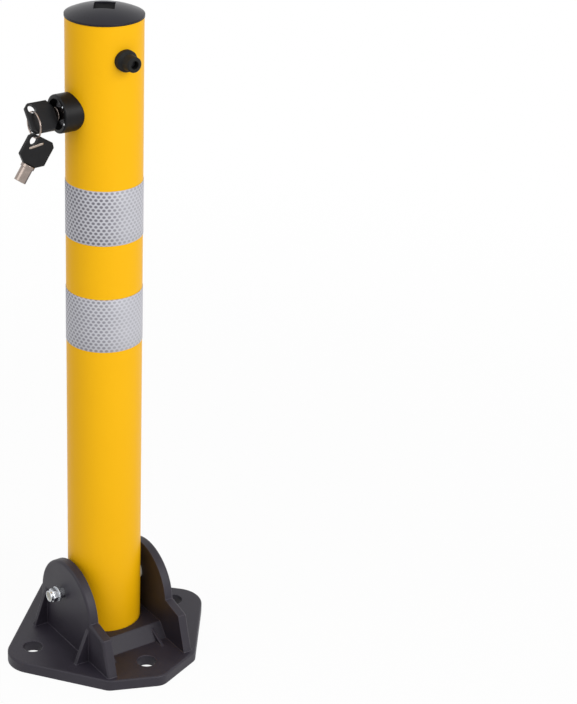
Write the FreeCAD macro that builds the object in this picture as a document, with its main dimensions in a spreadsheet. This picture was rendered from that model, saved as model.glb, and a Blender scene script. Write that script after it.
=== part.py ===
import FreeCAD, Part
import math
import os
import Sketcher

# Folding parking post: a steel tube on a moulded foot, hinged between two ears and locked by a rod.
# Millimetres. Origin on the ground at the centre of the bolt circle, +Z up, -Y towards the fold,
# -X towards the lock. The tube stands on the Z axis.

# Driving dimensions: alias, number, what it measures
SIZES = [
    ("tube_diameter", 60.0, "outside diameter of the post tube"),
    ("tube_wall", 2.0, "wall of the post tube"),
    ("tube_bottom", 16.0, "lower end of the tube above the ground"),
    ("rim_height", 540.0, "upper end of the tube above the ground"),
    ("band_drop", 130.0, "from the tube's upper end to the first reflective band"),
    ("band_height", 45.0, "height of a reflective band"),
    ("band_space", 45.0, "yellow space between the two bands"),
    ("band_film", 0.3, "thickness of the reflective film"),
    ("plate_thick", 9.0, "thickness of the foot's plate"),
    ("bolt_circle", 136.0, "diameter of the ground bolts' circle"),
    ("bolt_hole", 16.0, "ground bolt hole"),
    ("tip_margin", 20.0, "plate left around the rear hole"),
    ("side_reach", 30.0, "side corner of the plate outside the bolt circle, before rounding"),
    ("side_shift", 2.0, "side corner of the plate in front of the hinge line"),
    ("side_round", 23.0, "rounding of the side corners"),
    ("front_margin", 1.5, "front corners of the plate outside the ears"),
    ("front_reach", 77.0, "front corners of the plate"),
    ("front_round", 10.0, "rounding of the front corners"),
    ("apex_reach", 94.0, "front point of the plate"),
    ("apex_round", 12.0, "rounding of the front point"),
    ("plate_edge", 1.6, "rounding of the plate's upper edge"),
    ("ear_clear", 2.0, "gap between the tube and each ear"),
    ("ear_thick", 8.0, "thickness of an ear"),
    ("ear_radius", 40.0, "radius of an ear's top"),
    ("ear_shift", 5.0, "centre of the ear's top in front of the hinge line"),
    ("ear_centre", 40.0, "height of the centre of the ear's top"),
    ("ear_edge", 2.2, "rounding along an ear's outer edge"),
    ("shoulder_height", 44.0, "where the ear's top runs into its front rib"),
    ("rib_reach", 65.0, "front of the rib's shoulder"),
    ("rib_height", 39.0, "height of the rib's shoulder"),
    ("rib_foot", 76.0, "front of the rib at the plate"),
    ("gusset_thick", 3.5, "thickness of the outer gussets"),
    ("gusset_reach", 12.0, "outward reach of the gussets on the plate"),
    ("rear_gusset_back", 27.0, "rear gusset behind the hinge line"),
    ("rear_gusset_top", 43.0, "height of the rear gusset on the ear"),
    ("front_gusset_front", 41.0, "front gusset in front of the hinge line"),
    ("front_gusset_top", 38.0, "height of the front gusset on the ear"),
    ("platform_height", 20.0, "top of the platform in front of the tube"),
    ("platform_lip", 6.2, "platform's top in front of the tube's well"),
    ("platform_slope", 10.0, "front of the platform at the plate, in front of its top's edge"),
    ("fin_half", 23.0, "platform fins left and right of the middle"),
    ("fin_thick", 2.5, "thickness of a platform fin"),
    ("fin_reach", 10.0, "a fin's foot in front of the platform's foot"),
    ("fin_drop", 2.0, "top of a fin below the platform's top"),
    ("fin_top", 1.0, "flat top of a fin"),
    ("join", 1.0, "depth that ribs and blocks of one piece run into each other"),
    ("well_gap", 0.8, "gap between the tube and its well"),
    ("well_floor", 4.4, "floor of the well above the ground"),
    ("hinge_height", 52.0, "hinge axis above the ground"),
    ("sleeve_diameter", 9.0, "hinge sleeve, outside"),
    ("sleeve_stand", 4.0, "sleeve standing out of each ear"),
    ("running_gap", 0.05, "radial gap of a part that turns or slides in another"),
    ("seat_gap", 0.05, "radial gap of a part that is fixed in another"),
    ("bolt_diameter", 6.0, "hinge bolt"),
    ("bolt_flats", 10.0, "hinge bolt's head and nut across flats"),
    ("bolt_head", 4.0, "height of the hinge bolt's head"),
    ("bolt_sink", 1.6, "end of the hinge bolt inside its nut"),
    ("nut_hex", 4.6, "height of the nut's hexagon"),
    ("nut_collar", 2.4, "height of the nut's collar"),
    ("collar_diameter", 9.2, "outside of the nut's collar"),
    ("insert_diameter", 7.8, "locking ring in the nut's collar"),
    ("insert_sink", 0.4, "locking ring below the end of the nut's collar"),
    ("washer_diameter", 12.5, "hinge washers"),
    ("washer_thick", 1.6, "thickness of a hinge washer"),
    ("spacer_diameter", 16.0, "hinge spacers between the ears and the tube"),
    ("spacer_gap", 0.4, "gap between a spacer and the tube"),
    ("cap_flange", 0.4, "cap flange outside the tube"),
    ("cap_edge", 1.6, "height of the cap's flange"),
    ("cap_dome", 6.8, "rise of the cap's dome"),
    ("cap_skirt", 16.0, "length of the cap's skirt inside the tube"),
    ("cap_wall", 2.4, "wall of the cap"),
    ("recess_across", 18.0, "recess in the cap, across"),
    ("recess_deep", 16.0, "recess in the cap, the other way"),
    ("recess_sink", 2.2, "depth of the recess in the cap"),
    ("recess_turn", 56.0, "turn of the recess about the post, degrees"),
    ("lock_drop", 71.0, "lock axis below the tube's upper end"),
    ("boss_diameter", 30.0, "lock boss"),
    ("boss_stand", 12.0, "lock boss standing out of the tube"),
    ("boss_edge", 1.2, "rounding of the boss's front edge"),
    ("mouth_diameter", 24.0, "mouth of the lock boss"),
    ("mouth_depth", 6.0, "depth of the mouth"),
    ("lock_flange", 2.0, "thickness of the lock's front flange"),
    ("lock_diameter", 19.0, "lock housing"),
    ("lock_length", 26.0, "lock housing behind its flange"),
    ("lock_nut_flats", 24.0, "lock nut across flats"),
    ("lock_nut_thick", 4.0, "thickness of the lock nut"),
    ("plug_diameter", 12.0, "turning plug of the lock"),
    ("groove_depth", 10.4, "depth of the plug's ring groove for the key"),
    ("cam_thick", 2.0, "thickness of the cam"),
    ("cam_seat", 8.0, "plug stub that carries the cam"),
    ("cam_radius", 11.5, "cam pin from the lock axis"),
    ("cam_pin", 4.0, "cam pin"),
    ("pin_past", 1.0, "cam pin past the post's axis"),
    ("cam_wide", 8.0, "width of the cam's arm"),
    ("cam_hub", 13.0, "cam around the plug's stub"),
    ("screw_diameter", 4.0, "cam screw and buffer screw"),
    ("screw_head", 10.0, "head of the cam screw"),
    ("screw_crown", 6.0, "flat crown of the cam screw's head"),
    ("screw_space", 1.0, "space behind the cam screw's end"),
    ("screw_head_high", 2.2, "height of the cam screw's head"),
    ("screw_long", 8.0, "cam screw in the plug"),
    ("rod_diameter", 8.0, "locking rod"),
    ("rod_front", 15.0, "locking rod in front of the post's axis"),
    ("rod_lift", 1.5, "drawn-in rod above the tube's lower end"),
    ("rod_point", 2.0, "taper at the rod's lower end"),
    ("yoke_thick", 3.0, "thickness of the rod's yoke"),
    ("yoke_gap", 0.55, "slack of the cam pin in the yoke's slot"),
    ("yoke_wall", 3.5, "yoke around its slot"),
    ("strike_gap", 0.5, "gap around the rod in the foot"),
    ("guide_thick", 10.0, "thickness of a rod guide"),
    ("lower_guide", 20.0, "underside of the lower rod guide"),
    ("guide_drop", 70.0, "underside of the upper rod guide below the lock axis"),
    ("buffer_drop", 26.8, "rubber buffer below the tube's upper end"),
    ("buffer_flange", 17.0, "rubber buffer at the tube"),
    ("buffer_flange_long", 5.0, "flange of the buffer in front of the tube"),
    ("buffer_stub", 12.0, "rubber buffer's stub"),
    ("buffer_long", 14.0, "buffer standing out of the tube"),
    ("buffer_hole", 6.5, "recess in the buffer's end"),
    ("buffer_hole_deep", 6.0, "depth of that recess"),
    ("buffer_edge", 0.8, "bevel at the end of the buffer's stub"),
    ("buffer_flare", 0.3, "flare of the stub towards its flange"),
    ("buffer_step", 0.6, "stub's flare in front of the flange"),
    ("buffer_bevel", 1.6, "bevel of the buffer's flange"),
    ("buffer_head_high", 1.8, "height of the buffer screw's head"),
    ("buffer_head_gap", 0.2, "gap around the buffer screw's head"),
    ("buffer_head_bevel", 1.0, "bevel of the buffer screw's head"),
    ("buffer_screw_inside", 3.0, "buffer screw inside the tube's wall"),
    ("key_stand", 0.8, "key head in front of the boss"),
    ("key_tilt", 38.0, "turn of the key in the lock, degrees"),
    ("head_long", 23.0, "length of a key's head"),
    ("head_wide", 24.0, "width of a key's head"),
    ("head_thick", 4.0, "thickness of a key's head"),
    ("head_corner", 3.0, "corner cut of a key's head"),
    ("shoulder_wide", 6.5, "cut of the head's shoulders beside the barrel, across"),
    ("shoulder_long", 4.5, "cut of the head's shoulders beside the barrel, along"),
    ("head_edge", 0.7, "rounding of a key head's edges"),
    ("barrel_diameter", 9.5, "key barrel, outside"),
    ("barrel_wall", 1.0, "wall of the key barrel"),
    ("barrel_long", 14.0, "length of the key barrel"),
    ("collar_wide", 11.0, "collar of the key barrel at its head"),
    ("collar_long", 2.6, "length of that collar"),
    ("barrel_floor", 2.0, "closed end of the key barrel"),
    ("ring_hole", 7.0, "hole for the ring in a key's head"),
    ("hole_in", 5.0, "ring hole from the head's end"),
    ("hole_side", 7.0, "ring hole from the head's middle line"),
    ("ring_diameter", 21.2, "key ring, outside"),
    ("ring_wire", 1.4, "wire of the key ring"),
    ("ring_sit", 1.6, "ring wire below the middle of the hole it hangs in"),
    ("spare_sit", 2.5, "ring wire from the middle of the spare key's hole"),
    ("ring_turn", 22.0, "place on the ring, from its top, where the key in the lock holds it, degrees"),
    ("spare_turn", 33.0, "lean of the spare key as it hangs by its corner, degrees"),
]

doc = FreeCAD.newDocument("folding_parking_post")
sheet = doc.addObject("Spreadsheet::Sheet", "Sizes")
for row, (alias, number, note) in enumerate(SIZES, start=1):
    sheet.set(f"A{row}", note)
    sheet.set(f"B{row}", str(number))
    sheet.setAlias(f"B{row}", alias)
doc.recompute()
NUMBER = {alias: number for alias, number, note in SIZES}

# Tolerances for picking edges, and the size of the outlines that sketches start from
NEAR = 0.01
CLOSE = 1.0
SEED_R = 9.0
SEED_TURN = 0.1

# Places that several pieces share, as expressions on the sheet
TUBE_R = "Sizes.tube_diameter / 2"
BORE_R = "(Sizes.tube_diameter / 2 - Sizes.tube_wall)"
EAR_IN = "(Sizes.tube_diameter / 2 + Sizes.ear_clear)"
EAR_OUT = f"({EAR_IN} + Sizes.ear_thick)"
SLEEVE_END = f"({EAR_OUT} + Sizes.sleeve_stand)"
WASHER_END = f"({SLEEVE_END} + Sizes.washer_thick)"
NUT_END = f"({WASHER_END} + Sizes.nut_hex + Sizes.nut_collar)"
SLEEVE_R = "Sizes.sleeve_diameter / 2"
BOLT_R = "Sizes.bolt_diameter / 2"
WELL_R = f"({TUBE_R} + Sizes.well_gap)"
PLATFORM_EDGE = f"({WELL_R} + Sizes.platform_lip)"
PLATFORM_FOOT = f"({PLATFORM_EDGE} + Sizes.platform_slope)"
LOCK_Z = "(Sizes.rim_height - Sizes.lock_drop)"
BOSS_FACE = f"({TUBE_R} + Sizes.boss_stand)"
MOUTH_FLOOR = f"({BOSS_FACE} - Sizes.mouth_depth)"
LOCK_FACE = f"({MOUTH_FLOOR} + Sizes.lock_flange)"
LOCK_BACK = f"({MOUTH_FLOOR} - Sizes.lock_length)"
CAM_FACE = f"({LOCK_BACK} - Sizes.cam_thick)"
CAM_SWING = "Sizes.cam_radius * cos(45 deg)"
BUFFER_Z = "(Sizes.rim_height - Sizes.buffer_drop)"
RIM_Z = "Sizes.rim_height"
APEX_Z = "(Sizes.rim_height + Sizes.cap_edge + Sizes.cap_dome)"
HINGE_Z = "Sizes.hinge_height"


def new_body(name):
    body = doc.addObject("PartDesign::Body", name)
    body.Label = name
    return body


def new_sketch(body, name, role, along="0", lift="0"):
    """A sketch on one of the body's origin planes, moved along its normal and up its own Y axis."""
    sketch = body.newObject("Sketcher::SketchObject", name)
    plane = next(item for item in body.Origin.OriginFeatures if item.Role == role)
    sketch.AttachmentSupport = [(plane, "")]
    sketch.MapMode = "FlatFace"
    sketch.setExpression("AttachmentOffset.Base.z", along)
    sketch.setExpression("AttachmentOffset.Base.y", lift)
    return sketch


def hold(sketch, constraint, expression):
    """Add a dimension to a sketch and bind it to the sheet."""
    number = sketch.addConstraint(constraint)
    sketch.setExpression(f"Constraints[{number}]", expression)


def place(sketch, geometry, point, across, up, seed):
    """Hold a point of a sketch at two coordinates; seed is where it starts."""
    hold(sketch, Sketcher.Constraint("DistanceX", -1, 1, geometry, point, seed.x), across)
    hold(sketch, Sketcher.Constraint("DistanceY", -1, 1, geometry, point, seed.y), up)


def polygon(sketch, corners):
    """A closed outline through corners given as pairs of expressions."""
    first = sketch.GeometryCount
    count = len(corners)
    angles = [2 * math.pi * i / count + SEED_TURN for i in range(count)]
    seeds = [FreeCAD.Vector(SEED_R * math.cos(a), SEED_R * math.sin(a), 0) for a in angles]
    for i in range(count):
        sketch.addGeometry(Part.LineSegment(seeds[i], seeds[(i + 1) % count]), False)
    for i in range(count):
        following = (i + 1) % count
        sketch.addConstraint(Sketcher.Constraint("Coincident", first + i, 2, first + following, 1))
        place(sketch, first + i, 1, corners[i][0], corners[i][1], seeds[i])


def circle(sketch, across, up, radius):
    seed = FreeCAD.Vector(SEED_TURN, SEED_TURN, 0)
    index = sketch.addGeometry(Part.Circle(seed, FreeCAD.Vector(0, 0, 1), SEED_R), False)
    place(sketch, index, 3, across, up, seed)
    hold(sketch, Sketcher.Constraint("Radius", index, SEED_R), radius)


def hexagon(sketch, flats):
    """A hexagon about the sketch's origin, with the given width across flats."""
    polygon(sketch, [(f"{flats} / sqrt(3) * cos({60 * i} deg)", f"{flats} / sqrt(3) * sin({60 * i} deg)")
                     for i in range(6)])


def pad(body, sketch, name, length, both=False, back=False):
    feature = body.newObject("PartDesign::Pad", name)
    feature.Profile = sketch
    feature.setExpression("Length", length)
    feature.SideType = "Symmetric" if both else "One side"
    feature.Reversed = back
    return feature


def pocket(body, sketch, name, length=None, both=False, back=False):
    """Cut a sketch out of a body, to a length or right through, and see that something was cut."""
    doc.recompute()
    before = body.Shape.Volume
    feature = body.newObject("PartDesign::Pocket", name)
    feature.Profile = sketch
    if length is None:
        feature.Type = "ThroughAll"
    else:
        feature.setExpression("Length", length)
    feature.SideType = "Symmetric" if both else "One side"
    feature.Reversed = back
    doc.recompute()
    if body.Shape.Volume >= before:
        raise RuntimeError(f"{name} cuts nothing")
    return feature


def mirror(body, name, originals):
    """Mirror features of a body to its other side, left to right."""
    feature = body.newObject("PartDesign::Mirrored", name)
    feature.Originals = originals
    plane = next(item for item in body.Origin.OriginFeatures if item.Role == "YZ_Plane")
    feature.MirrorPlane = (plane, [""])
    body.Tip = feature
    return feature


def round_edges(body, name, radius, wanted):
    """Round the edges of a body that the test picks."""
    doc.recompute()
    base = body.Tip
    names = [f"Edge{i}" for i, edge in enumerate(base.Shape.Edges, start=1) if wanted(edge)]
    if not names:
        raise RuntimeError(f"{name} finds no edge")
    feature = body.newObject("PartDesign::Fillet", name)
    feature.Base = (base, names)
    feature.setExpression("Radius", radius)
    doc.recompute()
    return feature


def turned(name, axis, profile, along="0", lift="0"):
    """A body turned about the X axis or the Z axis of the sketch plane, from (across, up) corners."""
    body = new_body(name)
    sketch = new_sketch(body, name + "_profile", "XZ_Plane", along, lift)
    polygon(sketch, profile)
    spin(body, sketch, name + "_turn", axis)
    return body


def spin(body, sketch, name, axis):
    feature = body.newObject("PartDesign::Revolution", name)
    feature.Profile = sketch
    feature.ReferenceAxis = (sketch, [{"X": "H_Axis", "Z": "V_Axis"}[axis]])
    feature.Angle = 360
    return feature


def ring_profile(start, end, outer, inner):
    """Section of a plain ring turned about X: from start to end, between two radii."""
    return [(start, inner), (end, inner), (end, outer), (start, outer)]


# Foot: one moulding with plate, ears, gussets, platform and the well that the tube stands in
def ear_outline(sketch):
    """Side view of an ear: straight back, round top, shoulder and front rib, with the hinge bore."""
    centre = FreeCAD.Vector(-NUMBER["ear_shift"], NUMBER["ear_centre"], 0)
    radius = NUMBER["ear_radius"]
    step = NUMBER["shoulder_height"] - NUMBER["ear_centre"]
    end_angle = math.pi - math.asin(step / radius)
    back = centre + FreeCAD.Vector(radius, 0, 0)
    front = centre + FreeCAD.Vector(radius * math.cos(end_angle), step, 0)
    low = NUMBER["plate_thick"] / 2
    rear_foot = FreeCAD.Vector(back.x, low, 0)
    shoulder = FreeCAD.Vector(-NUMBER["rib_reach"], NUMBER["rib_height"], 0)
    foot = FreeCAD.Vector(-NUMBER["rib_foot"], low, 0)
    sketch.addGeometry(Part.LineSegment(rear_foot, back), False)
    top = Part.Circle(centre, FreeCAD.Vector(0, 0, 1), radius)
    sketch.addGeometry(Part.ArcOfCircle(top, 0.0, end_angle), False)
    sketch.addGeometry(Part.LineSegment(front, shoulder), False)
    sketch.addGeometry(Part.LineSegment(shoulder, foot), False)
    sketch.addGeometry(Part.LineSegment(foot, rear_foot), False)
    sketch.addConstraint(Sketcher.Constraint("Tangent", 0, 2, 1, 1))
    for i, j in ((1, 2), (2, 3), (3, 4), (4, 0)):
        sketch.addConstraint(Sketcher.Constraint("Coincident", i, 2, j, 1))
    sketch.addConstraint(Sketcher.Constraint("Vertical", 0))
    place(sketch, 1, 3, "-Sizes.ear_shift", "Sizes.ear_centre", centre)
    hold(sketch, Sketcher.Constraint("Radius", 1, radius), "Sizes.ear_radius")
    hold(sketch, Sketcher.Constraint("DistanceY", -1, 1, 1, 2, front.y), "Sizes.shoulder_height")
    place(sketch, 3, 1, "-Sizes.rib_reach", "Sizes.rib_height", shoulder)
    place(sketch, 4, 1, "-Sizes.rib_foot", "Sizes.plate_thick / 2", foot)
    sketch.addConstraint(Sketcher.Constraint("Horizontal", 4))
    circle(sketch, "0", HINGE_Z, f"{SLEEVE_R} + Sizes.seat_gap")


def gusset(body, name, place_y, top):
    """A triangular rib that props an ear's outer side."""
    sketch = new_sketch(body, name + "_profile", "XZ_Plane", place_y)
    inside = f"({EAR_OUT} - Sizes.join)"
    low = "Sizes.plate_thick / 2"
    reach = f"({EAR_OUT} + Sizes.gusset_reach)"
    rim = "Sizes.plate_thick"
    polygon(sketch, [(inside, low), (reach, low), (reach, rim), (EAR_OUT, top), (inside, top)])
    return pad(body, sketch, name, "Sizes.gusset_thick", both=True)


def make_foot():
    body = new_body("base_foot")
    tip = "Sizes.bolt_circle / 2"
    side = f"({tip} + Sizes.side_reach)"
    front = f"({EAR_OUT} + Sizes.front_margin)"
    outline = new_sketch(body, "plate_outline", "XY_Plane")
    polygon(outline, [
        ("0", f"{tip} + Sizes.tip_margin * sqrt(2)"),
        (f"-{side}", "-Sizes.side_shift"),
        (f"-{front}", "-Sizes.front_reach"),
        ("0", "-Sizes.apex_reach"),
        (front, "-Sizes.front_reach"),
        (side, "-Sizes.side_shift"),
    ])
    pad(body, outline, "plate", "Sizes.plate_thick")
    ear_out = NUMBER["tube_diameter"] / 2 + NUMBER["ear_clear"] + NUMBER["ear_thick"]
    front_half = ear_out + NUMBER["front_margin"]
    tip_y = NUMBER["bolt_circle"] / 2

    def upright(edge):
        return edge.BoundBox.ZLength > NUMBER["plate_thick"] / 2

    def across(edge):
        return abs(edge.CenterOfMass.x)

    round_edges(body, "rear_tip", "Sizes.tip_margin", lambda e: upright(e) and e.CenterOfMass.y > tip_y)
    round_edges(body, "side_tips", "Sizes.side_round",
                lambda e: upright(e) and across(e) > tip_y)
    round_edges(body, "front_corners", "Sizes.front_round",
                lambda e: upright(e) and abs(across(e) - front_half) < CLOSE and e.CenterOfMass.y < 0)
    round_edges(body, "front_point", "Sizes.apex_round",
                lambda e: upright(e) and across(e) < CLOSE and e.CenterOfMass.y < 0)
    round_edges(body, "plate_rim", "Sizes.plate_edge",
                lambda e: abs(e.CenterOfMass.z - NUMBER["plate_thick"]) < NEAR)

    ear_sketch = new_sketch(body, "ear_profile", "YZ_Plane", EAR_IN)
    ear_outline(ear_sketch)
    ear = pad(body, ear_sketch, "ear", "Sizes.ear_thick")
    mirror(body, "ears", [ear])
    hinge = NUMBER["hinge_height"]

    def outer_edge(edge):
        flat = edge.BoundBox.XLength < NEAR and abs(across(edge) - ear_out) < NEAR
        bore = isinstance(edge.Curve, Part.Circle) and abs(edge.CenterOfMass.z - hinge) < CLOSE
        return flat and not bore and edge.CenterOfMass.z > NUMBER["plate_thick"] + CLOSE

    round_edges(body, "ear_rims", "Sizes.ear_edge", outer_edge)
    rear = gusset(body, "rear_gusset", "-Sizes.rear_gusset_back", "Sizes.rear_gusset_top")
    front = gusset(body, "front_gusset", "Sizes.front_gusset_front", "Sizes.front_gusset_top")
    mirror(body, "gussets", [rear, front])

    block = new_sketch(body, "platform_profile", "YZ_Plane")
    low = "Sizes.plate_thick / 2"
    polygon(block, [(f"-{PLATFORM_FOOT}", low), ("0", low), ("0", "Sizes.platform_height"),
                    (f"-{PLATFORM_EDGE}", "Sizes.platform_height"),
                    (f"-{PLATFORM_FOOT}", "Sizes.plate_thick")])
    pad(body, block, "platform", f"2 * {EAR_IN} + Sizes.join", both=True)
    fin_sketch = new_sketch(body, "fin_profile", "YZ_Plane", "Sizes.fin_half")
    fin_foot, fin_high = f"-{PLATFORM_FOOT} - Sizes.fin_reach", "Sizes.platform_height - Sizes.fin_drop"
    polygon(fin_sketch, [(fin_foot, low), (f"-{PLATFORM_EDGE}", low), (f"-{PLATFORM_EDGE}", fin_high),
                         (f"-{PLATFORM_EDGE} - Sizes.fin_top", fin_high), (fin_foot, "Sizes.plate_thick")])
    fin = pad(body, fin_sketch, "fin", "Sizes.fin_thick", both=True)
    mirror(body, "fins", [fin])

    well = new_sketch(body, "well_round", "XY_Plane", "Sizes.well_floor")
    circle(well, "0", "0", WELL_R)
    pocket(body, well, "tube_well", back=True)
    rear_well = new_sketch(body, "well_rear", "XY_Plane", "Sizes.well_floor")
    polygon(rear_well, [(f"-{WELL_R}", "0"), (WELL_R, "0"), (WELL_R, WELL_R), (f"-{WELL_R}", WELL_R)])
    pocket(body, rear_well, "swing_well", back=True, length="Sizes.plate_thick")
    strike = new_sketch(body, "strike_round", "XY_Plane")
    circle(strike, "0", "-Sizes.rod_front", "Sizes.rod_diameter / 2 + Sizes.strike_gap")
    pocket(body, strike, "strike_hole", back=True, length="Sizes.plate_thick")
    ground = new_sketch(body, "bolt_round", "XY_Plane")
    circle(ground, tip, "0", "Sizes.bolt_hole / 2")
    hole = pocket(body, ground, "bolt_hole", back=True, length="Sizes.plate_thick + Sizes.join")
    pattern = body.newObject("PartDesign::PolarPattern", "bolt_holes")
    pattern.Originals = [hole]
    pattern.Axis = (ground, ["N_Axis"])
    pattern.Angle = 360
    pattern.Occurrences = 4
    body.Tip = pattern
    return body


# Hinge: sleeve, bolt, washers, locking nut and the spacers beside the tube
def make_hinge():
    def on_hinge(name, profile):
        return turned(name, "X", profile, lift=HINGE_Z)

    bore = f"{BOLT_R} + Sizes.seat_gap"
    on_hinge("hinge_sleeve", ring_profile(f"-{SLEEVE_END}", SLEEVE_END, SLEEVE_R, bore))
    washer_r = "Sizes.washer_diameter / 2"
    on_hinge("nut_washer", ring_profile(f"-{WASHER_END}", f"-{SLEEVE_END}", washer_r, bore))
    on_hinge("head_washer", ring_profile(SLEEVE_END, WASHER_END, washer_r, bore))

    bolt = new_body("hinge_bolt")
    head = new_sketch(bolt, "bolt_head_profile", "YZ_Plane", WASHER_END, HINGE_Z)
    hexagon(head, "Sizes.bolt_flats")
    pad(bolt, head, "bolt_head", "Sizes.bolt_head")
    shank = new_sketch(bolt, "shank_profile", "YZ_Plane", f"-{NUT_END} + Sizes.bolt_sink", HINGE_Z)
    circle(shank, "0", "0", BOLT_R)
    pad(bolt, shank, "bolt_shank", f"{NUT_END} - Sizes.bolt_sink + {WASHER_END}")

    nut = new_body("hinge_nut")
    flats = new_sketch(nut, "nut_profile", "YZ_Plane", f"-{WASHER_END}", HINGE_Z)
    hexagon(flats, "Sizes.bolt_flats")
    circle(flats, "0", "0", bore)
    pad(nut, flats, "nut_hexagon", "Sizes.nut_hex", back=True)
    collar = new_sketch(nut, "collar_profile", "YZ_Plane", f"-{WASHER_END} - Sizes.nut_hex", HINGE_Z)
    circle(collar, "0", "0", "Sizes.collar_diameter / 2")
    circle(collar, "0", "0", "Sizes.insert_diameter / 2 + Sizes.seat_gap")
    pad(nut, collar, "nut_collar", "Sizes.nut_collar", back=True)
    on_hinge("nut_insert", ring_profile(f"-{NUT_END} + Sizes.insert_sink", f"-{WASHER_END} - Sizes.nut_hex",
                                        "Sizes.insert_diameter / 2", bore))
    for side, sign in (("lock", "-"), ("far", "")):
        near = f"{sign}({TUBE_R} + Sizes.spacer_gap)"
        far = f"{sign}({EAR_IN} - Sizes.seat_gap)"
        on_hinge(f"{side}_side_spacer", ring_profile(near, far, "Sizes.spacer_diameter / 2",
                                                     f"{SLEEVE_R} + Sizes.seat_gap"))


# Post: tube with its bores, cap, and the two reflective bands
def make_post():
    tube = turned("post_tube", "Z", [(BORE_R, "Sizes.tube_bottom"), (TUBE_R, "Sizes.tube_bottom"),
                                     (TUBE_R, RIM_Z), (BORE_R, RIM_Z)])
    hinge = new_sketch(tube, "hinge_bore", "YZ_Plane")
    circle(hinge, "0", HINGE_Z, f"{SLEEVE_R} + Sizes.running_gap")
    pocket(tube, hinge, "hinge_bores", both=True)
    lock = new_sketch(tube, "lock_bore", "YZ_Plane")
    circle(lock, "0", LOCK_Z, "Sizes.lock_diameter / 2 + Sizes.seat_gap")
    pocket(tube, lock, "lock_hole")
    screw = new_sketch(tube, "screw_bore", "XZ_Plane")
    circle(screw, "0", BUFFER_Z, "Sizes.screw_diameter / 2 + Sizes.seat_gap")
    pocket(tube, screw, "buffer_screw_hole", back=True)

    for name, start in (("reflective_band_upper", "Sizes.band_drop"),
                        ("reflective_band_lower", "Sizes.band_drop + Sizes.band_height + Sizes.band_space")):
        inner = f"{TUBE_R} + Sizes.seat_gap / 2"
        outer = f"{TUBE_R} + Sizes.band_film"
        high = f"{RIM_Z} - ({start})"
        low = f"{high} - Sizes.band_height"
        turned(name, "Z", [(inner, low), (outer, low), (outer, high), (inner, high)])
    make_cap()


def make_cap():
    """Cap: domed top with a small flange on the tube's end, a skirt inside it and a square recess."""
    cap = new_body("top_cap")
    profile = new_sketch(cap, "cap_profile", "XZ_Plane")
    flange = NUMBER["tube_diameter"] / 2 + NUMBER["cap_flange"]
    edge_z = NUMBER["rim_height"] + NUMBER["cap_edge"]
    dome = NUMBER["cap_dome"]
    radius = (flange ** 2 + dome ** 2) / (2 * dome)
    centre = FreeCAD.Vector(0, edge_z + dome - radius, 0)
    angle = math.asin(flange / radius)
    skirt = f"{BORE_R} - Sizes.seat_gap"
    roof = f"{APEX_Z} - Sizes.recess_sink - Sizes.cap_wall"
    corners = [("0", APEX_Z), ("0", roof), (f"{skirt} - Sizes.cap_wall", RIM_Z),
               (f"{skirt} - Sizes.cap_wall", f"{RIM_Z} - Sizes.cap_skirt"),
               (skirt, f"{RIM_Z} - Sizes.cap_skirt"), (skirt, RIM_Z),
               (f"{TUBE_R} + Sizes.cap_flange", RIM_Z),
               (f"{TUBE_R} + Sizes.cap_flange", f"{RIM_Z} + Sizes.cap_edge")]
    seeds = [FreeCAD.Vector(5 * i, edge_z - 9 * i, 0) for i in range(len(corners) - 1)]
    seeds[0] = FreeCAD.Vector(0, edge_z + dome, 0)
    seeds.append(FreeCAD.Vector(flange, edge_z, 0))
    for i in range(len(corners) - 1):
        profile.addGeometry(Part.LineSegment(seeds[i], seeds[i + 1]), False)
    last = len(corners) - 1
    round_top = Part.Circle(centre, FreeCAD.Vector(0, 0, 1), radius)
    profile.addGeometry(Part.ArcOfCircle(round_top, math.pi / 2 - angle, math.pi / 2), False)
    for i in range(last):
        place(profile, i, 1, corners[i][0], corners[i][1], seeds[i])
    place(profile, last - 1, 2, corners[last][0], corners[last][1], seeds[last])
    for i in range(last - 1):
        profile.addConstraint(Sketcher.Constraint("Coincident", i, 2, i + 1, 1))
    profile.addConstraint(Sketcher.Constraint("Coincident", last - 1, 2, last, 1))
    profile.addConstraint(Sketcher.Constraint("Coincident", last, 2, 0, 1))
    hold(profile, Sketcher.Constraint("DistanceX", -1, 1, last, 3, 0.0), "0")
    spin(cap, profile, "cap_turn", "Z")
    recess = new_sketch(cap, "recess_profile", "XY_Plane", APEX_Z)
    recess.setExpression("AttachmentOffset.Rotation.Angle", "Sizes.recess_turn")
    half, deep = "Sizes.recess_across / 2", "Sizes.recess_deep / 2"
    polygon(recess, [(f"-{half}", f"-{deep}"), (half, f"-{deep}"), (half, deep), (f"-{half}", deep)])
    pocket(cap, recess, "cap_recess", "Sizes.recess_sink")


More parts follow.
